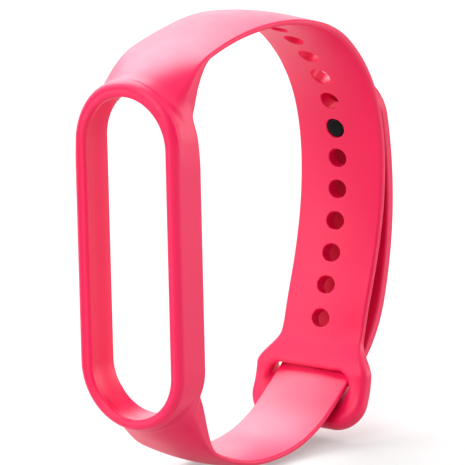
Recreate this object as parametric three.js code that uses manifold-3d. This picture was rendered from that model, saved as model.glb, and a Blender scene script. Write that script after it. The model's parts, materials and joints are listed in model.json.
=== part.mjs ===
// Fitness tracker band: a one-piece silicone ring strap with an empty tracker holder, closed by a stud.
// Millimetres, +Z up. +X runs from the holder to the back of the ring, and Y is the strap's width.
// The moulding is split into bodies along its length, so that the tail can peel away from the ring.
import * as THREE from 'three';
import { mergeVertices } from 'three/addons/utils/BufferGeometryUtils.js';
import Module from 'manifold-3d';

const wasm = await Module();
wasm.setup();

// ---- driving dimensions ----
const GAP = 0.3;                 // clearance between neighbouring pieces of the split moulding
const HOLDER_HALF_WIDTH = 9.5;
const HOLDER_HALF_HEIGHT = 26.3;
const HOLDER_DEPTH = 6.4;        // from the front rim to the back rim
const HOLDER_EDGE_ROUND = 0.6;
const LIP_INSET = 1.95;          // how far the front and back lips reach in from the outside
const GROOVE_INSET = 0.9;        // wall left where the tracker's waist sits
const FRONT_LIP = 1.2;
const BACK_LIP = 1.5;

const STRAP_THICKNESS = 1.9;
const ROOT_THICKNESS = 4.6;      // where the strap grows out of the holder
const ROOT_LENGTH = 12.5;        // stretch of the outer line that belongs to a root
const CUP = 0.8;                 // how far the strap's edges curl away from the wrist
const HOLE_COUNT = 12;
const HOLE_PITCH = 5.15;         // along the outer line; about 5 mm on the wrist side
const HOLE_HALF_WIDTH = 1.75;    // holes are slightly wider across the strap than along it
const HOLE_HALF_HEIGHT = 1.5;
const STUD_HOLE = 6;             // the stud sits in this hole, counted from the top
const FIRST_HOLE_AT = 40.1;      // along the outer line of the hole strap's band

const LOOP_START = 99.4;         // the keeper loop starts here on the hole strap's band
const LOOP_FLARE = 6;
const LOOP_HALF_WIDTH = 10.3;
const LOOP_END_ROUND = 4.6;
const LOOP_THICKNESS = 2.2;
const SLOT_HALF_WIDTH = 7.5;
const SLOT_CLEARANCE = 0.7;      // room above and below the strap that passes through the slot
const SLOT_FROM = 44;            // stretch of the tail band that the slot is cut along
const SLOT_TO = 58;

const LOWER_END = 44.5;          // the lower strap ends and the part inside the loop begins
const TAIL_START = 59.5;         // first flexing line, just outside the loop
const TAIL_LINK = 9.2;           // spacing of the flexing lines
const TAIL_LINKS = 4;
const TAIL_THICKNESS = 2.1;
const TIP_ROUND = 6.6;

const POST_RADIUS = 1.25;
const BORE_RADIUS = 1.45;
const FLANGE_RADIUS = 2.3;
const FLANGE_THICKNESS = 0.5;
const CAP_RADIUS = 3.3;
const CAP_THICKNESS = 1.0;

const SILICONE = new THREE.MeshStandardMaterial({ color: 0xff3c64, roughness: 0.55, metalness: 0 });
const BLACK_PLASTIC = new THREE.MeshStandardMaterial({ color: 0x101012, roughness: 0.2, metalness: 0 });

// ---- outer lines of the two bands, as (x, z) points from the holder's centre ----
function line(points) {
  return new THREE.CatmullRomCurve3(points.map(([x, z]) => new THREE.Vector3(x, 0, z)));
}

const HOLE_BAND = line([
  [0.8, 25.9], [6, 27.6], [12, 29.5], [20, 31.6], [28, 32.3], [35.5, 31.4], [42.6, 28.2], [49.2, 22.5],
  [53.6, 15.5], [55.5, 7.5], [55.3, -1], [53.5, -9.6], [50.3, -19.2], [48.9, -24.2], [48.4, -28.6],
  [46.9, -32.2], [44.3, -34.2],
]);
const TAIL_BAND = line([
  [0.8, -25.9], [6.5, -29.1], [13.7, -33.1], [21, -35.8], [28, -36.6], [34, -35.7], [39.5, -33.4],
  [45.5, -29.7], [50.8, -25.3], [54.4, -20.2], [56.8, -13], [58.2, -5], [58.4, 3], [57.6, 10.5],
  [55.8, 18.3],
]);
HOLE_BAND.arcLengthDivisions = 400;
TAIL_BAND.arcLengthDivisions = 400;
const HOLE_BAND_LENGTH = HOLE_BAND.getLength();
const TAIL_BAND_LENGTH = TAIL_BAND.getLength();

// Point, direction along the band, and direction towards the wrist, at a distance along the outer line.
function station(band, along) {
  const u = THREE.MathUtils.clamp(along / band.getLength(), 0, 1);
  const tangent = band.getTangentAt(u);
  const turn = band === HOLE_BAND ? 1 : -1;
  const inward = new THREE.Vector3(turn * tangent.z, 0, -turn * tangent.x);
  return { point: band.getPointAt(u), tangent, inward };
}

// ---- solids and booleans ----
function solid(geometry) {
  const bare = geometry.index ? geometry.toNonIndexed() : geometry.clone();
  bare.deleteAttribute('normal');
  bare.deleteAttribute('uv');
  const merged = mergeVertices(bare, 1e-4);
  return new wasm.Manifold(new wasm.Mesh({
    numProp: 3,
    vertProperties: new Float32Array(merged.attributes.position.array),
    triVerts: new Uint32Array(merged.index.array),
  }));
}

function piece(name, shape, material) {
  const mesh = shape.getMesh();
  const geometry = new THREE.BufferGeometry();
  geometry.setAttribute('position', new THREE.BufferAttribute(mesh.vertProperties, 3));
  geometry.setIndex(new THREE.BufferAttribute(mesh.triVerts, 1));
  geometry.computeVertexNormals();
  const result = new THREE.Mesh(geometry, material);
  result.name = name;
  return result;
}

// Flat bar section in unit widths: a runs across the strap, b from the outer face (0) to the wrist (1).
function barSection() {
  const across = [-0.9, -0.6, -0.3, 0, 0.3, 0.6, 0.9];
  const outer = across.map((a) => [a, 0]);
  const inner = across.map((a) => [-a, 1]);
  const nearEdge = [[0.97, 0.15], [1, 0.5], [0.97, 0.85]];
  const farEdge = [[-0.97, 0.85], [-1, 0.5], [-0.97, 0.15]];
  const corners = [...outer, ...nearEdge, ...inner, ...farEdge];
  return new THREE.Shape(corners.map(([a, b]) => new THREE.Vector2(a, b)));
}

// A stretch of band: the unit bar is extruded and each of its points is carried onto the band.
// Cup thins the strap's edges from the wrist side, and droop bends the strap round the holder's end.
function bandSolid({
  band, from, to, steps, halfWidth, thickness, cup = 0, lift = 0, droop = () => 0,
}) {
  const geometry = new THREE.ExtrudeGeometry(barSection(), { steps, depth: 1, bevelEnabled: false });
  const position = geometry.attributes.position;
  for (let i = 0; i < position.count; i += 1) {
    const across = position.getX(i);
    const along = THREE.MathUtils.lerp(from, to, position.getZ(i));
    const { point, inward } = station(band, along);
    const y = across * halfWidth(along);
    const roundEnd = HOLDER_HALF_WIDTH - Math.sqrt(Math.max(0, HOLDER_HALF_WIDTH ** 2 - y ** 2));
    const solidDepth = position.getY(i) * (thickness(along) - cup * across * across);
    point.addScaledVector(inward, solidDepth - lift + droop(along) * roundEnd);
    position.setXYZ(i, point.x, y, point.z);
  }
  // The hole band's frame is left-handed and the tail band's is right-handed.
  if (band === HOLE_BAND) flipWinding(geometry);
  return solid(geometry);
}

function flipWinding(geometry) {
  const position = geometry.attributes.position;
  const first = new THREE.Vector3();
  const second = new THREE.Vector3();
  for (let i = 0; i < position.count; i += 3) {
    first.fromBufferAttribute(position, i);
    second.fromBufferAttribute(position, i + 1);
    position.setXYZ(i, second.x, second.y, second.z);
    position.setXYZ(i + 1, first.x, first.y, first.z);
  }
}

// Carries a geometry whose local z is the direction towards the wrist onto a place on the band.
function onBand(geometry, band, along, depth = 0) {
  const { point, inward } = station(band, along);
  const across = new THREE.Vector3(0, 1, 0);
  const up = new THREE.Vector3().crossVectors(inward, across);
  const matrix = new THREE.Matrix4().makeBasis(across, up, inward);
  matrix.setPosition(point.addScaledVector(inward, depth));
  return geometry.applyMatrix4(matrix);
}

function roundBar(radius, from, to, sides = 24) {
  const geometry = new THREE.CylinderGeometry(radius, radius, to - from, sides);
  geometry.rotateX(Math.PI / 2);
  geometry.translate(0, 0, (from + to) / 2);
  return geometry;
}

// ---- holder: a racetrack ring with a lip in front of and behind the tracker's groove ----
function racetrack(halfWidth, halfHeight) {
  const straight = halfHeight - halfWidth;
  const shape = new THREE.Shape();
  shape.absarc(0, straight, halfWidth, 0, Math.PI, false);
  shape.absarc(0, -straight, halfWidth, Math.PI, 2 * Math.PI, false);
  shape.closePath();
  return shape;
}

function racetrackSolid(inset, fromX, toX, round = 0) {
  const shape = racetrack(HOLDER_HALF_WIDTH - inset - round, HOLDER_HALF_HEIGHT - inset - round);
  const geometry = new THREE.ExtrudeGeometry(shape, {
    depth: toX - fromX - 2 * round,
    bevelEnabled: round > 0,
    bevelThickness: round,
    bevelSize: round,
    bevelSegments: 3,
    curveSegments: 24,
  });
  const toYZX = new THREE.Matrix4().makeBasis(
    new THREE.Vector3(0, 1, 0), new THREE.Vector3(0, 0, 1), new THREE.Vector3(1, 0, 0),
  );
  geometry.applyMatrix4(toYZX);
  geometry.translate(fromX + round, 0, 0);
  return solid(geometry);
}

function holder() {
  return racetrackSolid(0, 0, HOLDER_DEPTH, HOLDER_EDGE_ROUND)
    .subtract(racetrackSolid(LIP_INSET, -1, HOLDER_DEPTH + 1))
    .subtract(racetrackSolid(GROOVE_INSET, FRONT_LIP, HOLDER_DEPTH - BACK_LIP));
}

// ---- half widths and thicknesses along the bands ----
function smooth(value, from, to) {
  return THREE.MathUtils.smoothstep(value, from, to);
}

function holeBandHalfWidth(along) {
  const waist = THREE.MathUtils.lerp(7.7, 7.1, smooth(along, 2, 16));
  const holes = THREE.MathUtils.lerp(8.0, 7.5, smooth(along, FIRST_HOLE_AT, LOOP_START));
  return THREE.MathUtils.lerp(waist, holes, smooth(along, 18, 36));
}

function tailBandHalfWidth(along) {
  return THREE.MathUtils.lerp(7.7, 6.8, smooth(along, 2, 18));
}

function rootThickness(along) {
  return THREE.MathUtils.lerp(ROOT_THICKNESS, STRAP_THICKNESS, smooth(along, 1, ROOT_LENGTH));
}

// 1 where the strap wraps round the holder's end, 0 where it has become flat.
function rootDroop(along) {
  return 1 - smooth(along, 0, ROOT_LENGTH);
}

const strapThickness = () => STRAP_THICKNESS;

// ---- strap pieces that stay with the ring ----
function root(band, halfWidth) {
  const stretch = bandSolid({
    band,
    from: 1,
    to: ROOT_LENGTH,
    steps: 10,
    halfWidth,
    thickness: rootThickness,
    cup: CUP,
    droop: rootDroop,
  });
  return stretch.subtract(racetrackSolid(-GAP, -1, HOLDER_DEPTH + GAP));
}

function upperStrap() {
  return bandSolid({
    band: HOLE_BAND,
    from: ROOT_LENGTH + GAP,
    to: FIRST_HOLE_AT - HOLE_PITCH,
    steps: 14,
    halfWidth: holeBandHalfWidth,
    thickness: strapThickness,
    cup: CUP,
  });
}

function holeStrap() {
  let strap = bandSolid({
    band: HOLE_BAND,
    from: FIRST_HOLE_AT - HOLE_PITCH + GAP,
    to: LOOP_START - GAP,
    steps: 42,
    halfWidth: holeBandHalfWidth,
    thickness: strapThickness,
    cup: CUP,
  });
  for (let hole = 0; hole < HOLE_COUNT; hole += 1) {
    const cutter = roundBar(1, -2, 4, 20);
    cutter.scale(HOLE_HALF_WIDTH, HOLE_HALF_HEIGHT, 1);
    strap = strap.subtract(solid(onBand(cutter, HOLE_BAND, FIRST_HOLE_AT + hole * HOLE_PITCH)));
  }
  return strap;
}

function loopHalfWidth(along) {
  const flare = smooth(along, LOOP_START, LOOP_START + LOOP_FLARE);
  const flared = THREE.MathUtils.lerp(7.5, LOOP_HALF_WIDTH, flare);
  const past = along - (HOLE_BAND_LENGTH - LOOP_END_ROUND);
  if (past <= 0) return flared;
  const bite = LOOP_END_ROUND - Math.sqrt(Math.max(0, LOOP_END_ROUND ** 2 - past ** 2));
  return flared - bite;
}

function keeperLoop() {
  const thickness = (along) => THREE.MathUtils.lerp(
    STRAP_THICKNESS, LOOP_THICKNESS, smooth(along, LOOP_START, LOOP_START + LOOP_FLARE),
  );
  const ring = bandSolid({
    band: HOLE_BAND,
    from: LOOP_START,
    to: HOLE_BAND_LENGTH,
    steps: 16,
    halfWidth: loopHalfWidth,
    thickness,
  });
  const slot = bandSolid({
    band: TAIL_BAND,
    from: SLOT_FROM,
    to: SLOT_TO,
    steps: 8,
    halfWidth: () => SLOT_HALF_WIDTH,
    thickness: () => STRAP_THICKNESS + 2 * SLOT_CLEARANCE,
    lift: SLOT_CLEARANCE,
  });
  return ring.subtract(slot);
}

function lowerBand(from, to, steps) {
  return bandSolid({
    band: TAIL_BAND, from, to, steps, halfWidth: tailBandHalfWidth, thickness: strapThickness,
  });
}

// ---- tail: links that flex one after another, the last with a round tip and the stud ----
function tailHalfWidth(along) {
  const past = along - (TAIL_BAND_LENGTH - TIP_ROUND);
  if (past <= 0) return tailBandHalfWidth(along);
  return Math.max(0.6, Math.sqrt(Math.max(0, TIP_ROUND ** 2 - past ** 2)) * (6.8 / TIP_ROUND));
}

// Neighbouring links meet at their outer faces and open towards the wrist, so they can bend outwards.
function tailLink(index) {
  const last = index === TAIL_LINKS - 1;
  const from = TAIL_START + index * TAIL_LINK + GAP / 2;
  const to = last ? TAIL_BAND_LENGTH : from + TAIL_LINK - GAP;
  return bandSolid({
    band: TAIL_BAND,
    from,
    to,
    steps: last ? 16 : 5,
    halfWidth: tailHalfWidth,
    thickness: () => TAIL_THICKNESS,
  });
}

// ---- stud: a post with a flange behind the tail's skin, and a cap on the outside ----
const STUD_AT = FIRST_HOLE_AT + (STUD_HOLE - 1) * HOLE_PITCH;

// Depth of the tail's outer face along the stud hole's axis, negative because it lies outside the ring.
function tailOuterDepth() {
  const { point, inward } = station(HOLE_BAND, STUD_AT);
  let depth = 0;
  let nearest = Infinity;
  for (let i = 0; i <= 2000; i += 1) {
    const offset = TAIL_BAND.getPointAt(0.6 + (0.4 * i) / 2000).sub(point);
    const along = offset.dot(inward);
    const sideways = offset.addScaledVector(inward, -along).length();
    if (sideways < nearest) {
      nearest = sideways;
      depth = along;
    }
  }
  return depth;
}

// Depths run along the stud hole's axis from the hole strap's outer face, positive towards the wrist.
function studDepths() {
  const tailOuter = tailOuterDepth();
  const postEnd = STRAP_THICKNESS - 0.1;
  const capTop = tailOuter - 0.35;
  const capUnderside = capTop + CAP_THICKNESS;
  const flangeFace = tailOuter + TAIL_THICKNESS - FLANGE_THICKNESS;
  return { tailOuter, postEnd, capTop, capUnderside, flangeFace };
}

const place = (geometry) => solid(onBand(geometry, HOLE_BAND, STUD_AT));

function tailTip() {
  const { tailOuter, capUnderside, flangeFace } = studDepths();
  const capRecess = place(roundBar(CAP_RADIUS + 0.1, tailOuter - 3, capUnderside + 0.1, 32));
  const bore = place(roundBar(BORE_RADIUS, tailOuter - 3, tailOuter + 6));
  const flangeRecess = place(roundBar(FLANGE_RADIUS + 0.1, flangeFace - 0.1, flangeFace + 6));
  return tailLink(TAIL_LINKS - 1).subtract(capRecess).subtract(bore).subtract(flangeRecess);
}

function studPost() {
  const { postEnd, capUnderside, flangeFace } = studDepths();
  const shank = place(roundBar(POST_RADIUS, capUnderside + 0.05, postEnd));
  return shank.add(place(roundBar(FLANGE_RADIUS, flangeFace, flangeFace + FLANGE_THICKNESS)));
}

function studCap() {
  const { capTop, capUnderside } = studDepths();
  const profile = [
    [0, capTop],
    [CAP_RADIUS - 0.35, capTop],
    [CAP_RADIUS, capTop + 0.35],
    [CAP_RADIUS, capUnderside],
    [0, capUnderside],
  ];
  const outline = profile.map(([radius, depth]) => new THREE.Vector2(radius, depth));
  const disc = new THREE.LatheGeometry(outline, 32);
  disc.rotateX(Math.PI / 2);
  return place(disc);
}

// ---- assembly ----
const band = new THREE.Group();
band.add(
  piece('holder_frame', holder(), SILICONE),
  piece('upper_root', root(HOLE_BAND, holeBandHalfWidth), SILICONE),
  piece('upper_strap', upperStrap(), SILICONE),
  piece('hole_strap', holeStrap(), SILICONE),
  piece('keeper_loop', keeperLoop(), SILICONE),
  piece('lower_root', root(TAIL_BAND, tailBandHalfWidth), SILICONE),
  piece('lower_strap', lowerBand(ROOT_LENGTH + GAP, LOWER_END, 16), SILICONE),
  piece('loop_passage', lowerBand(LOWER_END + GAP, TAIL_START - GAP / 2, 9), SILICONE),
);
for (let index = 0; index < TAIL_LINKS - 1; index += 1) {
  band.add(piece(`tail_link_${index + 1}`, tailLink(index), SILICONE));
}
band.add(
  piece('tail_tip', tailTip(), SILICONE),
  piece('stud_post', studPost(), BLACK_PLASTIC),
  piece('stud_cap', studCap(), BLACK_PLASTIC),
);

// The frame's origin is the centre of the bounding box's bottom.
const bounds = new THREE.Box3().setFromObject(band);
band.position.set(-(bounds.min.x + bounds.max.x) / 2, 0, -bounds.min.z);

export default band;
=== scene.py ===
"""Fitness tracker band: one silicone moulding, shown as seamless pieces, with its black stud.

Shapes are fields that are negative inside the material. Each is turned into a skin of quads, settled onto
the field's zero surface and cut into pieces. Lengths are millimetres from the middle of the holder's
front face, +X towards the back of the ring and +Z up, until a piece is placed in the frame in metres.
"""
import json
import math

import bmesh
import bpy
import numpy as np
from mathutils import Matrix, Vector


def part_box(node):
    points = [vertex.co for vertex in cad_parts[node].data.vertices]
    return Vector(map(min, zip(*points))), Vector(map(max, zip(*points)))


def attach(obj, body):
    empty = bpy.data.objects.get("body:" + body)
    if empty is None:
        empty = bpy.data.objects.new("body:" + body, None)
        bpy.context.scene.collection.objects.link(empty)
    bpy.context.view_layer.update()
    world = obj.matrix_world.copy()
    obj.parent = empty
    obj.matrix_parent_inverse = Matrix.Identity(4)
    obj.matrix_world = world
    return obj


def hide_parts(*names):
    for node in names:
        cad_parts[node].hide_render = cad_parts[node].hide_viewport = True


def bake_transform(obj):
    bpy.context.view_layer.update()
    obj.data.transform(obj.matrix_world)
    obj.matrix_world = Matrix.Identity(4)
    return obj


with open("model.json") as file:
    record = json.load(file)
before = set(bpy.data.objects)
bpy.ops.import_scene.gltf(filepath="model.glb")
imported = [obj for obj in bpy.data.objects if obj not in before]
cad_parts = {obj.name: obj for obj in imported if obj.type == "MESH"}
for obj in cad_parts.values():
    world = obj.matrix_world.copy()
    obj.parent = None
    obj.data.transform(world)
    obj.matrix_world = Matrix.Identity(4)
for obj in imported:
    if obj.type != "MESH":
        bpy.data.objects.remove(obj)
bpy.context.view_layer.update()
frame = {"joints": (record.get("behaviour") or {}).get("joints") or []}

MM = 0.001
holder_low, holder_high = (np.array(corner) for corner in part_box("holder_frame"))
FRONT_MIDDLE = np.array([holder_low[0], 0.0, (holder_low[2] + holder_high[2]) / 2])

# ---- driving dimensions, in millimetres ----
HOLDER_HALF_WIDTH = 9.5
HOLDER_HALF_HEIGHT = 26.3
HOLDER_DEPTH = 6.4
LIP_INSET = 2.15             # the front rim is a round bead this wide
WALL_INSET = 1.5             # the wall behind the bead, where the tracker's waist sits
BACK_INSET = 1.9
OPENING_DROP = 0.35          # the opening sits this far below the middle
BEAD_OUTER_ROUND = 1.25
BEAD_TOP_ROUND = 2.0         # at the top the bead is fuller, with a valley between it and the strap
VALLEY = 0.5
RIDGE_WIDTH = 1.15           # the bead's outer part stands proud of the rest
RIDGE_HEIGHT = 0.25
BEAD_INNER_ROUND = 0.5
BEAD_DEPTH = 1.3
BEAD_STEP = 0.25             # depth of the step from the bead back to the wall
RIDGE_SOFTNESS = 0.25        # half the width of the slope beside the ridge
TOP_ROUND_HEIGHTS = (13, 22)
VALLEY_HEIGHTS = (13, 21)
VALLEY_DEPTHS = (1.3, 2.4)
WALL_END = 2.6               # behind this the wall slopes in towards the back lip
BACK_LIP = 0.8
BACK_ROUND = 0.45
ROOT_THICKNESS = 4.6
ROOT_LENGTH = 12.5
ROOT_FILLET = 0.9
ROOT_EDGE_ROUND = 0.9
ROOT_START = 0.8             # the root begins this far along the band's line
ROOT_START_ROUND = 0.5
ROOT_REACH = 1.0             # how far the roots come inside the holder's outline
ROOT_REACH_GROWTH = 3        # how much further they come in behind the holder
ROOT_REACH_ROUND = 0.4
STRAP_THICKNESS = 1.9
STRAP_EDGE_ROUND = 0.3
HOLE_EDGE_ROUND = 0.45
# How far the strap's edges lie inside its outer face, and inside its wrist face. Where the first holes are,
# the whole strip is curled, so that its edges stand out past its outer face.
PLAIN_CROWN, PLAIN_CUP = 0.7, 0.5
CURLED_CROWN, CURLED_CUP = -0.4, 1.3
HOLE_CROWN, HOLE_CUP = 0.0, 0.9
TAIL_CROWN, TAIL_CUP = 0.2, 0.3
CURLING = (34, 48)           # stretches along the hole strap's band where its section changes
UNCURLING = (52, 74)
THICKENING = (30, 42)

ROOT_HALF_WIDTH = 7.7
UPPER_HALF_WIDTH = 7.1
LOWER_HALF_WIDTH = 6.8
FIRST_HOLE_HALF_WIDTH = 8.0
LAST_HOLE_HALF_WIDTH = 7.5
UPPER_NARROWING = (2, 16)
UPPER_WIDENING = (18, 36)
LOWER_NARROWING = (2, 18)

HOLE_COUNT = 12
HOLE_PITCH = 5.15
HOLE_HALF_WIDTH = 1.62
HOLE_HALF_HEIGHT = 1.4
HOLE_RIM_ROUND = 0.15
STRETCHED_HALF_WIDTH = 1.6   # the stud's hole is pulled round
STRETCHED_HALF_HEIGHT = 1.53
HOLE_STRAP_THICKNESS = 2.1
STUD_HOLE = 5
FIRST_HOLE_AT = 40.1
PIECE_OFFSET = 0.15          # the strap's pieces meet this far from the stations where it changes
HOLES_FROM = FIRST_HOLE_AT - HOLE_PITCH + PIECE_OFFSET

LOOP_START = 99.4
LOOP_CUT = LOOP_START - PIECE_OFFSET
LOOP_FLARE = 5.2
LOOP_HALF_WIDTH = 10.45
LOOP_LEAN = 0.45             # the loop sits a little to one side
LOOP_EXTRA = 1.5
LOOP_END_ROUND = 4.6
LOOP_THICKNESS = 3.2
LOOP_EDGE_ROUND = 1.4
SLOT_HALF_WIDTH = 7.4
SLOT_OUTER_CLEARANCE = 0.8
SLOT_WRIST_CLEARANCE = 0.3
SLOT_CORNER = 2.2
SLOT_LIP_ROUND = 0.95
SLOT_SIDE_ROUND = 1.4
SLOT_SIDE = (4.5, 7.5)       # across the slot, where its lip's rounding changes to that of its sides
SLOT_FACE_ROUND = 0.1
SLOT_TO = 58.0

LOWER_END = 44.65
TAIL_START = 59.5            # the first bending line, just outside the loop
TAIL_LINK = 9.2
TAIL_THICKNESS = 2.1
TAIL_EXTRA = 0.4
TAIL_LIFT = 0.6              # the tail springs outwards a little past the loop
TIP_ROUND = 6.6
PASSAGE_END = 56.5

CAP_RADIUS = 3.3
CAP_THICKNESS = 1.0
CAP_PROUD = 0.35
POST_RADIUS = 1.25
HEAD_RADIUS = 1.48
FLANGE_RADIUS = 2.3
FLANGE_THICKNESS = 0.5
STUD_CLEARANCE = 0.1
RECESS_EDGE_ROUND = 0.12
CAP_RIM_ROUND = 0.35
CAP_BACK_ROUND = 0.1
FLANGE_EDGE_ROUND = 0.12
HEAD_EDGE_ROUND = 0.28
HEAD_RECESS = 0.06           # the head ends just short of the strap's wrist face


def smooth(value, start, end):
    share = np.clip((value - start) / (end - start), 0.0, 1.0)
    return share * share * (3 - 2 * share)


def mix(first, second, share):
    return first + (second - first) * share


def both(first, second, radius):
    """Where two shapes overlap, with their common edge rounded."""
    corner = np.hypot(np.maximum(first + radius, 0), np.maximum(second + radius, 0))
    return np.minimum(np.maximum(first, second), -radius) + corner


def either(first, second, radius):
    """Two shapes joined, with a fillet along the crease."""
    corner = np.hypot(np.maximum(radius - first, 0), np.maximum(radius - second, 0))
    return np.maximum(np.minimum(first, second), radius) - corner


# ---- the outer lines of the strap's two arms ----
def catmull_rom(points, per_span=80):
    """Centripetal Catmull-Rom curve through points, with its end points carried on by reflection."""
    points = np.array(points, float)
    first, last = 2 * points[0] - points[1], 2 * points[-1] - points[-2]
    knots = np.vstack([first, points, last])
    share = np.linspace(0, 1, per_span, endpoint=False)[:, None]
    spans = []
    for before, start, end, after in zip(knots, knots[1:], knots[2:], knots[3:]):
        lengths = [math.sqrt(np.linalg.norm(b - a)) for a, b in
                   ((before, start), (start, end), (end, after))]
        d0, d1, d2 = lengths
        leave = ((start - before) / d0 - (end - before) / (d0 + d1) + (end - start) / d1) * d1
        arrive = ((end - start) / d1 - (after - start) / (d1 + d2) + (after - end) / d2) * d1
        square, cube = share ** 2, share ** 3
        spans.append(start + leave * share + (3 * (end - start) - 2 * leave - arrive) * square
                     + (2 * (start - end) + leave + arrive) * cube)
    return np.vstack([*spans, points[-1:]])


class Band:
    """An arm of the strap, followed along its outer line. Depth is measured from there to the wrist."""

    STEP = 0.05
    OVERRUN = 8.0            # the line carries on straight past both ends
    SOFTENING = 1.2          # evens out the curvature where the spans meet
    MARK_SPACING = 1.2       # marks along the line, from which a point's nearest place is looked for

    def __init__(self, points, turn):
        raw = catmull_rom(points)
        lengths = np.concatenate([[0], np.cumsum(np.linalg.norm(np.diff(raw, axis=0), axis=1))])
        self.length = lengths[-1]
        self.turn = turn
        self.along = np.arange(-self.OVERRUN, self.length + self.OVERRUN, self.STEP)
        line = np.stack([np.interp(self.along, lengths, raw[:, k]) for k in (0, 1)], axis=1)
        early, late = self.along < 0, self.along > self.length
        start_slope = (raw[1] - raw[0]) / lengths[1]
        end_slope = (raw[-1] - raw[-2]) / (lengths[-1] - lengths[-2])
        line[early] = raw[0] + self.along[early, None] * start_slope
        line[late] = raw[-1] + (self.along[late, None] - self.length) * end_slope
        offsets = np.arange(-3 * self.SOFTENING, 3 * self.SOFTENING + self.STEP, self.STEP)
        weights = np.exp(-((offsets / self.SOFTENING) ** 2) / 2)
        margin = len(offsets) // 2
        for k in (0, 1):
            soft = np.convolve(line[:, k], weights / weights.sum(), "same")
            line[margin:-margin, k] = soft[margin:-margin]
        slope = np.gradient(line, self.STEP, axis=0)
        slope /= np.linalg.norm(slope, axis=1)[:, None]
        self.table = np.hstack([line, slope])
        self.marks = slice(0, None, round(self.MARK_SPACING / self.STEP))

    def at(self, along):
        """Place and direction on the outer line: x, z and the direction's x and z."""
        return [np.interp(along, self.along, column) for column in self.table.T]

    def place(self, along, y, depth):
        x, z, slope_x, slope_z = self.at(along)
        return x + self.turn * slope_z * depth, y, z - self.turn * slope_x * depth

    def locate(self, x, z):
        """How far along the line a point is, and how deep."""
        x, z = np.broadcast_arrays(x, z)
        marks = self.table[self.marks]
        gaps = (x[..., None] - marks[:, 0]) ** 2 + (z[..., None] - marks[:, 1]) ** 2
        along = self.along[self.marks][np.argmin(gaps, axis=-1)]
        for _ in range(4):
            line_x, line_z, slope_x, slope_z = self.at(along)
            along = along + (x - line_x) * slope_x + (z - line_z) * slope_z
        line_x, line_z, slope_x, slope_z = self.at(along)
        depth = self.turn * ((x - line_x) * slope_z - (z - line_z) * slope_x)
        return along, depth


hole_band = Band([
    (0.8, 25.2), (6, 27.7), (12, 29.6), (20, 31.3), (28, 31.9), (35.5, 31.1), (42.6, 28.1), (49.2, 22.5),
    (53.6, 15.5), (55.5, 7.5), (55.3, -1), (53.5, -9.6), (50.3, -19.2), (48.9, -24.2), (48.4, -28.6),
    (47.1, -32.2), (45.5, -34.6),
], turn=1)
tail_band = Band([
    (0.8, -25.9), (6.4, -29.5), (13.6, -33.7), (21, -36.1), (28, -36.6), (34, -35.9), (39.7, -33.7),
    (45.5, -29.7), (50.8, -25.3), (54.4, -20.2), (56.8, -13), (58.2, -5), (58.4, 3), (57.6, 10.5),
    (55.8, 18.3),
], turn=-1)


# The stud turns about its joint's axis, which points to the wrist. Places along it start at its origin.
stud_joint = next(joint for joint in frame["joints"] if joint["name"] == "stud_spin")
stud_x, _, stud_z = (np.array(stud_joint["pos_m"]) - FRONT_MIDDLE) / MM
stud_inward = np.array(stud_joint["axis"]) / np.linalg.norm(stud_joint["axis"])
stud_slope_x, stud_slope_z = -stud_inward[2], stud_inward[0]


# ---- fields ----
def hole_band_half_width(along):
    waist = mix(ROOT_HALF_WIDTH, UPPER_HALF_WIDTH, smooth(along, *UPPER_NARROWING))
    holes = mix(FIRST_HOLE_HALF_WIDTH, LAST_HOLE_HALF_WIDTH, smooth(along, FIRST_HOLE_AT, LOOP_START))
    strap = mix(waist, holes, smooth(along, *UPPER_WIDENING))
    return mix(strap, LOOP_HALF_WIDTH, smooth(along, LOOP_START, LOOP_START + LOOP_FLARE))


def tail_band_half_width(along):
    return mix(ROOT_HALF_WIDTH, LOWER_HALF_WIDTH, smooth(along, *LOWER_NARROWING))


def rounded_end(along, y, half_width, end, radius):
    """Outline of a strip seen flat, whose end has round corners."""
    across, past = np.abs(y) - half_width + radius, along - end + radius
    corner = np.hypot(np.maximum(across, 0), np.maximum(past, 0))
    return corner + np.minimum(np.maximum(across, past), 0) - radius


def slab(outline, depth, thickness, radius):
    return both(outline, np.abs(depth - thickness / 2) - thickness / 2, radius)


def strip(outline, y, depth, half_width, thickness, section, radius):
    """A strip of the strap. Its section is how far its edges lie inside its outer and wrist faces."""
    crown, cup = section
    edge = np.minimum(np.abs(y) / half_width, 1.05) ** 2
    return slab(outline, depth - crown * edge, thickness - (crown + cup) * edge, radius)


def racetrack(y, z):
    straight = HOLDER_HALF_HEIGHT - HOLDER_HALF_WIDTH
    return np.hypot(y, np.maximum(np.abs(z) - straight, 0)) - HOLDER_HALF_WIDTH


def holder_field(x, y, z):
    behind_bead = smooth(x, BEAD_DEPTH, BEAD_DEPTH + BEAD_STEP)
    wall_inset = mix(WALL_INSET, BACK_INSET, smooth(x, WALL_END, HOLDER_DEPTH - BACK_LIP))
    inset = mix(LIP_INSET, wall_inset, behind_bead)
    outline = racetrack(y, z)
    front = RIDGE_HEIGHT * smooth(-outline, RIDGE_WIDTH - RIDGE_SOFTNESS, RIDGE_WIDTH + RIDGE_SOFTNESS)
    valley = VALLEY * smooth(z, *VALLEY_HEIGHTS) * smooth(x, *VALLEY_DEPTHS)
    edge_round = mix(BEAD_OUTER_ROUND, BEAD_TOP_ROUND, smooth(z, *TOP_ROUND_HEIGHTS))
    outside = both(front - x, outline + valley, edge_round)
    ring = both(outside, -(racetrack(y, z + OPENING_DROP) + inset), BEAD_INNER_ROUND)
    return both(ring, x - HOLDER_DEPTH, BACK_ROUND)


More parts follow.
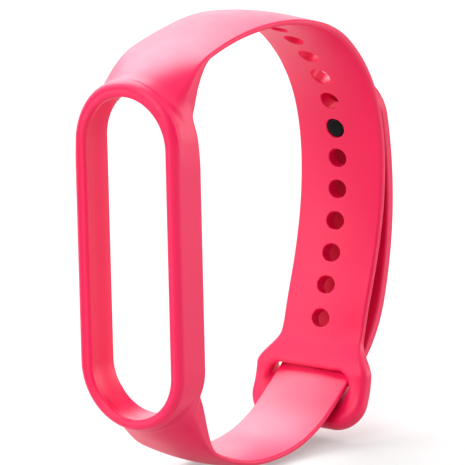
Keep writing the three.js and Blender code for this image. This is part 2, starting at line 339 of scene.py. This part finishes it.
def root_field(band, half_width, section, x, y, z):
    """The start of a strap, which wraps round the holder's end and thins out as it leaves it."""
    along, depth = band.locate(x, z)
    wrap = HOLDER_HALF_WIDTH - np.sqrt(np.maximum(HOLDER_HALF_WIDTH ** 2 - y ** 2, 1.0))
    depth = depth - (1 - smooth(along, 0, ROOT_LENGTH)) * wrap
    share = smooth(along, 1, ROOT_LENGTH)
    width = half_width(along)
    thickness = mix(ROOT_THICKNESS, STRAP_THICKNESS, share)
    edge_round = mix(ROOT_EDGE_ROUND, STRAP_EDGE_ROUND, share)
    bar = strip(np.abs(y) - width, y, depth, width, thickness, section(along), edge_round)
    further = ROOT_REACH_GROWTH * smooth(x, HOLDER_DEPTH, ROOT_LENGTH - 1)
    inner_limit = -(racetrack(y, z) + ROOT_REACH + further)
    root = both(bar, inner_limit, ROOT_REACH_ROUND)
    return both(root, ROOT_START - along, ROOT_START_ROUND)


def hole_band_section(along):
    grown = smooth(along, 3, ROOT_LENGTH) * (1 - smooth(along, LOOP_START - 2, LOOP_START + 4))
    curled, settled = smooth(along, *CURLING), smooth(along, *UNCURLING)
    crown = mix(mix(PLAIN_CROWN, CURLED_CROWN, curled), HOLE_CROWN, settled)
    cup = mix(mix(PLAIN_CUP, CURLED_CUP, curled), HOLE_CUP, settled)
    return crown * grown, cup * grown


def tail_band_section(along):
    grown, past_loop = smooth(along, 3, ROOT_LENGTH), smooth(along, LOWER_END, TAIL_START)
    return mix(PLAIN_CROWN, TAIL_CROWN, past_loop) * grown, mix(PLAIN_CUP, TAIL_CUP, past_loop) * grown


def holder_and_roots(x, y, z):
    upper = root_field(hole_band, hole_band_half_width, hole_band_section, x, y, z)
    lower = root_field(tail_band, tail_band_half_width, tail_band_section, x, y, z)
    return either(holder_field(x, y, z), np.minimum(upper, lower), ROOT_FILLET)


hole_stations = FIRST_HOLE_AT + HOLE_PITCH * np.arange(HOLE_COUNT)
hole_axes = np.stack(hole_band.at(hole_stations), axis=1)
hole_axes[STUD_HOLE] = stud_x, stud_z, stud_slope_x, stud_slope_z
hole_sizes = np.tile([HOLE_HALF_WIDTH, HOLE_HALF_HEIGHT], (HOLE_COUNT, 1))
hole_sizes[STUD_HOLE] = STRETCHED_HALF_WIDTH, STRETCHED_HALF_HEIGHT


def hole_strap_field(along, y, depth):
    width = hole_band_half_width(along)
    section = hole_band_section(along)
    share = smooth(along, *THICKENING) * (1 - smooth(along, LOOP_START - 6, LOOP_START))
    thickness = mix(STRAP_THICKNESS, HOLE_STRAP_THICKNESS, share)
    edge_round = mix(STRAP_EDGE_ROUND, HOLE_EDGE_ROUND, share)
    strap = strip(np.abs(y) - width, y, depth, width, thickness, section, edge_round)
    nearest = np.clip(np.round((along - FIRST_HOLE_AT) / HOLE_PITCH), 0, HOLE_COUNT - 1).astype(int)
    line_x, line_z, slope_x, slope_z = np.moveaxis(hole_axes[nearest], -1, 0)
    x, _, z = hole_band.place(along, y, depth)
    along_hole = (x - line_x) * slope_x + (z - line_z) * slope_z
    half_width, half_height = np.moveaxis(hole_sizes[nearest], -1, 0)
    ratio = np.hypot(y / half_width, along_hole / half_height)
    steepness = np.hypot(y / half_width ** 2, along_hole / half_height ** 2)
    hole = ratio * (ratio - 1) / np.maximum(steepness, 1e-3)
    return both(strap, -hole, HOLE_RIM_ROUND)


def loop_field(along, y, depth):
    width = hole_band_half_width(along)
    flare = smooth(along, LOOP_START, LOOP_START + LOOP_FLARE)
    y = y - LOOP_LEAN * flare
    outline = rounded_end(along, y, width, hole_band.length + LOOP_EXTRA, LOOP_END_ROUND)
    bar = strip(outline, y, depth, width, mix(STRAP_THICKNESS, LOOP_THICKNESS, flare),
                hole_band_section(along), mix(STRAP_EDGE_ROUND, LOOP_EDGE_ROUND, flare))
    x, _, z = hole_band.place(along, y, depth)
    along_tail, tail_depth = tail_band.locate(x, z)
    wrist_face = tail_depth - STRAP_THICKNESS - SLOT_WRIST_CLEARANCE
    slot = both(-SLOT_OUTER_CLEARANCE - tail_depth, wrist_face, SLOT_FACE_ROUND)
    slot = both(np.abs(y) - SLOT_HALF_WIDTH, slot, SLOT_CORNER)
    slot = both(slot, along_tail - SLOT_TO, SLOT_LIP_ROUND)
    return both(bar, -slot, mix(SLOT_LIP_ROUND, SLOT_SIDE_ROUND, smooth(np.abs(y), *SLOT_SIDE)))


trial = np.linspace(-4, -1, 61)
_, trial_depth = tail_band.locate(stud_x + trial * stud_inward[0], stud_z + trial * stud_inward[2])
TAIL_OUTER = float(np.interp(-TAIL_LIFT, trial_depth, trial))
CAP_TOP = TAIL_OUTER - CAP_PROUD
CAP_UNDERSIDE = CAP_TOP + CAP_THICKNESS
FLANGE_FACE = TAIL_OUTER + TAIL_THICKNESS - FLANGE_THICKNESS
HEAD_END = HOLE_STRAP_THICKNESS - HEAD_RECESS - float(hole_band.locate(stud_x, stud_z)[1])


def tail_field(along, y, depth):
    thickness = mix(STRAP_THICKNESS, TAIL_THICKNESS, smooth(along, TAIL_START - 3, TAIL_START + 1))
    width = tail_band_half_width(along)
    outline = rounded_end(along, y, width, tail_band.length + TAIL_EXTRA, TIP_ROUND)
    lifted = depth + TAIL_LIFT * smooth(along, LOWER_END, TAIL_START + 8)
    section = tail_band_section(along)
    tail = strip(outline, y, lifted, width, thickness, section, STRAP_EDGE_ROUND)
    x, _, z = tail_band.place(along, y, depth)
    axial = (x - stud_x) * stud_inward[0] + (z - stud_z) * stud_inward[2]
    radial = np.hypot(y, (x - stud_x) * stud_slope_x + (z - stud_z) * stud_slope_z)
    recess = np.maximum(radial - CAP_RADIUS - STUD_CLEARANCE, axial - CAP_UNDERSIDE - STUD_CLEARANCE)
    bore = radial - POST_RADIUS - 2 * STUD_CLEARANCE
    pocket = np.maximum(radial - FLANGE_RADIUS - STUD_CLEARANCE, FLANGE_FACE - STUD_CLEARANCE - axial)
    return both(tail, -np.minimum(np.minimum(recess, bore), pocket), RECESS_EDGE_ROUND)


# ---- skins ----
def skin_of(field, axes):
    """Quads round a field's zero surface, with one vertex in each grid cell that the surface crosses."""
    u, v, w = axes
    size = (len(u), len(v), len(w))
    value = np.broadcast_to(field(u[:, None, None], v[None, :, None], w[None, None, :]), size)
    inside = value < 0
    cells = tuple(n - 1 for n in size)
    count = np.zeros(cells, np.int8)
    for i in (0, 1):
        for j in (0, 1):
            for k in (0, 1):
                count += inside[i:i + cells[0], j:j + cells[1], k:k + cells[2]]
    crossed = (count > 0) & (count < 8)
    number = np.full(cells, -1)
    number[crossed] = np.arange(crossed.sum())
    total = np.zeros((crossed.sum(), 3))
    hits = np.zeros(crossed.sum())
    quads = []
    for axis in range(3):
        lower, upper = np.delete(value, -1, axis), np.delete(value, 0, axis)
        edge = np.argwhere((lower < 0) != (upper < 0))
        low, high = lower[tuple(edge.T)], upper[tuple(edge.T)]
        point = np.stack([axes[k][edge[:, k]] for k in range(3)], axis=1)
        step = axes[axis][edge[:, axis] + 1] - axes[axis][edge[:, axis]]
        point[:, axis] += low / (low - high) * step
        ring = []
        for back_b, back_c in ((0, 0), (1, 0), (1, 1), (0, 1)):
            cell = edge.copy()
            cell[:, (axis + 1) % 3] -= back_b
            cell[:, (axis + 2) % 3] -= back_c
            real = (cell >= 0).all(axis=1) & (cell < cells).all(axis=1)
            vertex = np.full(len(cell), -1)
            vertex[real] = number[tuple(cell[real].T)]
            np.add.at(total, vertex[real], point[real])
            np.add.at(hits, vertex[real], 1)
            ring.append(vertex)
        quad = np.stack(ring, axis=1)
        quad[low >= 0] = quad[low >= 0][:, ::-1]
        quads.append(quad[(quad >= 0).all(axis=1)])
    return total / hits[:, None], np.vstack(quads)


def slope_of(function, points, step=0.01):
    """How a function of three coordinates changes along each of them."""
    changes = []
    for shift in np.eye(3) * step:
        ahead, behind = function(*(points + shift).T), function(*(points - shift).T)
        changes.append((np.array(ahead) - np.array(behind)) / (2 * step))
    return changes


def settle(field, points, rounds=3, reach=0.1):
    """Moves points onto the field's zero surface."""
    for _ in range(rounds):
        slope = np.stack(slope_of(field, points), axis=1)
        value = field(*points.T)[:, None]
        move = value * slope / np.maximum((slope ** 2).sum(axis=1), 0.3)[:, None]
        points = points - np.clip(move, -reach, reach)
    return points


def normals_at(field, place, points):
    """Outward normals in space at points given in the field's own coordinates."""
    slope = np.stack(slope_of(field, points), axis=1)
    stretch = np.stack([column.T for column in slope_of(place, points)], axis=1)
    normal = np.linalg.solve(stretch, slope[:, :, None])[:, :, 0]
    return normal / np.maximum(np.linalg.norm(normal, axis=1), 1e-9)[:, None]


def cartesian(x, y, z):
    return x, y, z


class Skin:
    """A whole shape's skin in its field's coordinates, ready to be cut into pieces."""

    def __init__(self, field, place, axes, turned=False):
        self.field, self.place = field, place
        points, quads = skin_of(field, axes)
        self.points = settle(field, points)
        self.quads = quads[:, ::-1] if turned else quads

    def piece(self, name, cuts):
        """The part of the skin on the near side of every cut, closed there.

        A cut is a point and an outward direction.
        """
        body = bmesh.new()
        source = bpy.data.meshes.new("source")
        source.from_pydata(self.points.tolist(), [], self.quads.tolist())
        body.from_mesh(source)
        bpy.data.meshes.remove(source)
        cap = body.faces.layers.int.new("cap")
        for point, outward in cuts:
            whole = body.verts[:] + body.edges[:] + body.faces[:]
            made = bmesh.ops.bisect_plane(body, geom=whole, dist=1e-5, plane_co=point, plane_no=outward,
                                          clear_outer=True)
            rim = [item for item in made["geom_cut"] if isinstance(item, bmesh.types.BMEdge)]
            for face in bmesh.ops.holes_fill(body, edges=rim, sides=0)["faces"]:
                face[cap] = 1
        loose = [vert for vert in body.verts if not vert.link_faces]
        bmesh.ops.delete(body, geom=loose, context="VERTS")
        mesh = bpy.data.meshes.new(name)
        body.to_mesh(mesh)
        body.free()
        return self.finish(name, mesh)

    def finish(self, name, mesh):
        points = np.zeros(len(mesh.vertices) * 3)
        mesh.vertices.foreach_get("co", points)
        points = points.reshape(-1, 3)
        normals = normals_at(self.field, self.place, points)
        placed = np.stack(np.broadcast_arrays(*self.place(*points.T)), axis=1) * MM + FRONT_MIDDLE
        mesh.vertices.foreach_set("co", placed.ravel())
        mesh.update()
        corner_vertex = np.zeros(len(mesh.loops), int)
        mesh.loops.foreach_get("vertex_index", corner_vertex)
        corner_normals = normals[corner_vertex]
        for face in mesh.polygons:
            if mesh.attributes["cap"].data[face.index].value:
                flat = np.array(face.normal)
                corner_normals[face.loop_start:face.loop_start + face.loop_total] = flat
        mesh.attributes.remove(mesh.attributes["cap"])
        mesh.shade_smooth()
        mesh.normals_split_custom_set(corner_normals.tolist())
        made = bpy.data.objects.new(name, mesh)
        bpy.context.collection.objects.link(made)
        return made


def grid(*stretches):
    """Grid positions from stretches of (start, end, step), each starting where the one before it ends."""
    parts = []
    for start, end, step in stretches:
        parts.append(np.linspace(start, end, max(2, round((end - start) / step)), endpoint=False))
    return np.concatenate([*parts, [stretches[-1][1]]])


def mirrored(positions):
    return np.concatenate([-positions[:0:-1], positions])


def along_cut(at, forward):
    """A cut across a band, in the band's own coordinates."""
    return Vector((at, 0, 0)), Vector((1 if forward else -1, 0, 0))


def band_cut(band, at):
    """The same cut in space."""
    x, z, slope_x, slope_z = band.at(at)
    return Vector((x, 0, z)), Vector((slope_x, 0, slope_z))


coarse = 1.0
DEPTHS = grid((-1.03, 3.65, 0.13 * coarse))

holder_skin = Skin(
    holder_and_roots, cartesian,
    (grid((-0.7, 14.0, 0.25 * coarse)), mirrored(grid((0, 10.3, 0.25 * coarse))),
     grid((-35.6, 32.5, 0.25 * coarse))),
)
strap_y = mirrored(grid((0, 2.2, 0.17 * coarse), (2.2, 6.7, 0.5), (6.7, 8.4, 0.12 * coarse)))
hole_starts = [(at - 2.0, at + 2.0, 0.17 * coarse) for at in hole_stations]
between = [(at + 2.0, at + HOLE_PITCH - 2.0, 0.4) for at in hole_stations[:-1]]
hole_stretches = [stretch for pair in zip(hole_starts, between) for stretch in pair] + hole_starts[-1:]
strap_skin = Skin(
    hole_strap_field, hole_band.place,
    (grid((10.5, hole_stations[0] - 2.0, 0.45), *hole_stretches, (hole_stations[-1] + 2.0, 101.0, 0.3)),
     strap_y, DEPTHS),
    turned=True,
)
loop_skin = Skin(
    loop_field, hole_band.place,
    (grid((97.0, 116.2, 0.2 * coarse)), mirrored(grid((0, 11.6, 0.2 * coarse))), DEPTHS),
    turned=True,
)
tail_skin = Skin(
    tail_field, tail_band.place,
    (grid((10.5, 86.0, 0.45), (86.0, 104.0, 0.2 * coarse)),
     mirrored(grid((0, 4.0, 0.25 * coarse), (4.0, 6.2, 0.4), (6.2, 8.6, 0.12 * coarse))), DEPTHS),
)


# ---- pieces ----
def blend_at(piece, hinge, reach):
    """Works out the tail's places reach before and past a hinge station, which nothing uses, and bakes the
    piece's transform.
    """
    for at in (hinge - reach, hinge + reach):
        place = np.array(tail_band.place(at, 0.0, 0.0)) * MM + FRONT_MIDDLE
    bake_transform(piece)


silicone_pieces = []


def keep(piece, *nodes):
    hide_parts(*nodes)
    silicone_pieces.append(piece)
    return piece


root_ends = [band_cut(hole_band, ROOT_LENGTH), band_cut(tail_band, ROOT_LENGTH)]
holder_piece = keep(
    holder_skin.piece("holder_moulding", root_ends),
    "holder_frame", "upper_root", "lower_root",
)
upper_piece = keep(
    strap_skin.piece("upper_strap_moulding", [along_cut(ROOT_LENGTH, False), along_cut(HOLES_FROM, True)]),
    "upper_strap",
)
hole_piece = keep(
    strap_skin.piece("hole_strap_moulding", [along_cut(HOLES_FROM, False), along_cut(LOOP_CUT, True)]),
    "hole_strap",
)
loop_piece = keep(
    loop_skin.piece("keeper_loop_moulding", [along_cut(LOOP_CUT, False)]),
    "keeper_loop",
)
lower_piece = keep(
    tail_skin.piece("lower_strap_moulding", [along_cut(ROOT_LENGTH, False), along_cut(LOWER_END, True)]),
    "lower_strap",
)
passage_piece = keep(
    tail_skin.piece("loop_passage_moulding", [along_cut(LOWER_END, False), along_cut(PASSAGE_END, True)]),
    "loop_passage",
)
for piece in (holder_piece, upper_piece, hole_piece, loop_piece, lower_piece, passage_piece):
    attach(piece, "ring")

hinges = [TAIL_START + TAIL_LINK * index for index in range(4)]
TAIL_NODES = ["tail_link_1", "tail_link_2", "tail_link_3", "tail_tip"]
BEND_REACH = [3.0, 4.5, 4.5, 2.8]        # half the length about each hinge that blend_at is given
for index, hinge in enumerate(hinges):
    start = PASSAGE_END if index == 0 else hinge - TAIL_LINK / 2
    cuts = [along_cut(start, False)]
    if index < 3:
        cuts.append(along_cut(hinge + TAIL_LINK / 2, True))
    link = keep(tail_skin.piece(f"tail_moulding_{index + 1}", cuts), TAIL_NODES[index])
    blend_at(link, hinge, BEND_REACH[index])


# ---- stud ----
def turned_part(name, profile, sides=72):
    """A part turned about the stud's axis. The profile lists (radius, place along the axis)."""
    across = np.array([0.0, 1.0, 0.0])
    upward = np.array([stud_slope_x, 0.0, stud_slope_z])
    centre = np.array([stud_x, 0.0, stud_z])
    body = bmesh.new()
    rings = []
    for radius, at in profile:
        middle = centre + stud_inward * at
        angles = np.linspace(0, 2 * math.pi, sides, endpoint=False) if radius > 0 else [0.0]
        spots = [middle + radius * (math.cos(a) * across + math.sin(a) * upward) for a in angles]
        rings.append([body.verts.new(spot * MM + FRONT_MIDDLE) for spot in spots])
    for ring, following in zip(rings, rings[1:]):
        for side in range(sides):
            corners = [ring[side % len(ring)], ring[(side + 1) % len(ring)],
                       following[(side + 1) % len(following)], following[side % len(following)]]
            body.faces.new(list(dict.fromkeys(corners)))
    bmesh.ops.recalc_face_normals(body, faces=body.faces[:])
    mesh = bpy.data.meshes.new(name)
    body.to_mesh(mesh)
    body.free()
    mesh.shade_smooth()
    mesh.set_sharp_from_angle(angle=math.radians(40))
    made = bpy.data.objects.new(name, mesh)
    bpy.context.collection.objects.link(made)
    return made


def rounded_corner(radius, at, round_by, first, last, steps=6):
    """Profile points round a corner's centre, between two angles in degrees."""
    turn = np.radians(np.linspace(first, last, steps))
    return [(radius + round_by * math.cos(a), at + round_by * math.sin(a)) for a in turn]


cap_profile = [
    (0, CAP_TOP + 0.1), (1.2, CAP_TOP + 0.06), (2.3, CAP_TOP + 0.02),
    *rounded_corner(CAP_RADIUS - CAP_RIM_ROUND, CAP_TOP + CAP_RIM_ROUND, CAP_RIM_ROUND, -90, 0),
    *rounded_corner(CAP_RADIUS - CAP_BACK_ROUND, CAP_UNDERSIDE - CAP_BACK_ROUND, CAP_BACK_ROUND, 0, 90, 3),
    (0, CAP_UNDERSIDE),
]
FLANGE_BACK = FLANGE_FACE + FLANGE_THICKNESS
flange_corner = FLANGE_RADIUS - FLANGE_EDGE_ROUND
post_profile = [
    (0, CAP_UNDERSIDE + 0.05), (POST_RADIUS, CAP_UNDERSIDE + 0.05), (POST_RADIUS, FLANGE_FACE),
    *rounded_corner(flange_corner, FLANGE_FACE + FLANGE_EDGE_ROUND, FLANGE_EDGE_ROUND, -90, 0, 4),
    *rounded_corner(flange_corner, FLANGE_BACK - FLANGE_EDGE_ROUND, FLANGE_EDGE_ROUND, 0, 90, 4),
    (POST_RADIUS, FLANGE_BACK), (POST_RADIUS, 0.2), (HEAD_RADIUS, 0.5),
    *rounded_corner(HEAD_RADIUS - HEAD_EDGE_ROUND, HEAD_END - HEAD_EDGE_ROUND, HEAD_EDGE_ROUND, 0, 90),
    (0.6, HEAD_END + 0.02), (0, HEAD_END + 0.03),
]
stud_pieces = [turned_part("stud_cap_button", cap_profile), turned_part("stud_post_head", post_profile)]
for piece, node in zip(stud_pieces, ("stud_cap", "stud_post")):
    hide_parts(node)
    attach(piece, "stud")


# ---- materials ----
class Nodes:
    """A small helper that adds nodes to a material and joins them."""

    def __init__(self, name):
        self.material = bpy.data.materials.new(name)
        self.material.use_nodes = True
        self.tree = self.material.node_tree
        self.shader = self.tree.nodes["Principled BSDF"]

    def add(self, kind, inputs=(), **settings):
        node = self.tree.nodes.new(kind)
        for key, value in settings.items():
            setattr(node, key, value)
        for socket, value in dict(inputs).items():
            if isinstance(value, bpy.types.NodeSocket):
                self.tree.links.new(value, node.inputs[socket])
            else:
                node.inputs[socket].default_value = value
        return node

    def noise(self, scale, detail=3.0):
        place = self.add("ShaderNodeTexCoord").outputs["Object"]
        return self.add("ShaderNodeTexNoise", {"Vector": place, "Scale": scale, "Detail": detail})

    def span(self, value, low, high):
        ranged = self.add("ShaderNodeMapRange", {"Value": value, "To Min": low, "To Max": high})
        return ranged.outputs["Result"]

    def bump(self, height, strength, distance, **others):
        inputs = {"Height": height.outputs["Fac"], "Strength": strength, "Distance": distance, **others}
        return self.add("ShaderNodeBump", inputs).outputs["Normal"]

    def link(self, output, socket):
        self.tree.links.new(output, self.shader.inputs[socket])

    def set(self, **values):
        for socket, value in values.items():
            self.shader.inputs[socket.replace("_", " ")].default_value = value


def silicone_material():
    """Satin moulded silicone: an even dye with slight clouding, and a fine moulded grain."""
    nodes = Nodes("silicone")
    cloud = nodes.noise(60.0)
    dye = nodes.add("ShaderNodeValToRGB", {"Fac": cloud.outputs["Fac"]})
    dye.color_ramp.elements[0].position, dye.color_ramp.elements[1].position = 0.3, 0.7
    dye.color_ramp.elements[0].color = (0.69, 0.0018, 0.064, 1)
    dye.color_ramp.elements[1].color = (0.74, 0.0024, 0.072, 1)
    nodes.link(dye.outputs["Color"], "Base Color")
    polish = nodes.noise(350.0, 4.0)
    nodes.link(nodes.span(polish.outputs["Fac"], 0.38, 0.50), "Roughness")
    grain = nodes.noise(9000.0, 2.0)
    waviness = nodes.noise(260.0, 1.0)
    broad = nodes.bump(waviness, 0.1, 0.0001)
    nodes.link(nodes.bump(grain, 0.25, 0.00002, Normal=broad), "Normal")
    nodes.set(IOR=1.46, Specular_IOR_Level=0.42)
    return nodes.material


def stud_material():
    """Polished black plastic with faint swirls and dust-fine scuffs."""
    nodes = Nodes("stud_plastic")
    tone = nodes.noise(900.0)
    black = nodes.add("ShaderNodeValToRGB", {"Fac": tone.outputs["Fac"]})
    black.color_ramp.elements[0].color = (0.0015, 0.0015, 0.002, 1)
    black.color_ramp.elements[1].color = (0.004, 0.004, 0.005, 1)
    nodes.link(black.outputs["Color"], "Base Color")
    scuffs = nodes.noise(2600.0, 5.0)
    nodes.link(nodes.span(scuffs.outputs["Fac"], 0.12, 0.3), "Roughness")
    dents = nodes.noise(1500.0, 1.0)
    nodes.link(nodes.bump(dents, 0.12, 0.00003), "Normal")
    nodes.set(IOR=1.45, Specular_IOR_Level=0.1)
    return nodes.material


silicone = silicone_material()
for piece in silicone_pieces:
    piece.data.materials.append(silicone)
stud_plastic = stud_material()
for piece in stud_pieces:
    piece.data.materials.append(stud_plastic)


# ---- floor, light and camera ----
FLOOR_HALF = 3.0
FLOOR_HEIGHT = -0.0002
floor_mesh = bpy.data.meshes.new("floor")
corner_signs = ((-1, -1), (1, -1), (1, 1), (-1, 1))
floor_corners = [(x * FLOOR_HALF, y * FLOOR_HALF, FLOOR_HEIGHT) for x, y in corner_signs]
floor_mesh.from_pydata(floor_corners, [], [(0, 1, 2, 3)])
floor = bpy.data.objects.new("floor", floor_mesh)
bpy.context.collection.objects.link(floor)
paper = Nodes("floor_paper")
paper.set(Base_Color=(0.34, 0.34, 0.34, 1), Roughness=0.9, Specular_IOR_Level=0.0)
paper.set(Emission_Color=(1, 1, 1, 1), Emission_Strength=0.34)
floor_mesh.materials.append(paper.material)

world = bpy.data.worlds.new("studio")
bpy.context.scene.world = world
world.use_nodes = True
world.node_tree.nodes["Background"].inputs["Color"].default_value = (1, 1, 1, 1)
world.node_tree.nodes["Background"].inputs["Strength"].default_value = 0.02


SOFTNESS = math.radians(50)              # how wide each light looks from the band


def sun(name, towards_light, strength):
    """A broad soft light from one direction."""
    data = bpy.data.lights.new(name, "SUN")
    data.energy = strength
    data.angle = SOFTNESS
    made = bpy.data.objects.new(name, data)
    made.rotation_mode = "QUATERNION"
    made.rotation_quaternion = Vector(towards_light).to_track_quat("Z", "Y")
    bpy.context.collection.objects.link(made)


sun("top_softbox", (0.26, 0.57, 0.78), 5.2)
sun("near_top_softbox", (0.35, -0.5, 0.8), 0.9)
sun("back_softbox", (0.69, 0.69, 0.21), 1.5)
sun("far_softbox", (-0.69, 0.69, 0.21), 1.6)
sun("front_top_softbox", (-0.74, -0.1, 0.66), 2.6)
sun("near_softbox", (0.75, -0.65, 0.05), 2.6)

# The camera stands in front of the holder to its right, a little above it, with a long lens.
CAMERA_PLACE = Vector((-541.42, -425.9, 158.44))
FORWARD = Vector((0.7789, 0.5870, -0.2208))
RIGHT = Vector((0.5977, -0.8014, -0.0221))
SENSOR_WIDTH = 36
FOCAL_RATIO = 10.4062                    # focal length over sensor width
AIM_RIGHT, AIM_UP = 0.001976, 0.001316
camera_data = bpy.data.cameras.new("camera")
camera_data.sensor_width = SENSOR_WIDTH
camera_data.lens = SENSOR_WIDTH * FOCAL_RATIO
camera = bpy.data.objects.new("camera", camera_data)
bpy.context.collection.objects.link(camera)
upward = RIGHT.cross(FORWARD).normalized()
aim = (FORWARD + RIGHT * AIM_RIGHT + upward * AIM_UP).normalized()
side = (RIGHT - aim * RIGHT.dot(aim)).normalized()
axes = Matrix((side, side.cross(aim), -aim)).transposed()
camera.matrix_world = Matrix.Translation(CAMERA_PLACE * MM + Vector(FRONT_MIDDLE)) @ axes.to_4x4()
bpy.context.scene.camera = camera
bpy.context.scene.view_settings.view_transform = "Standard"
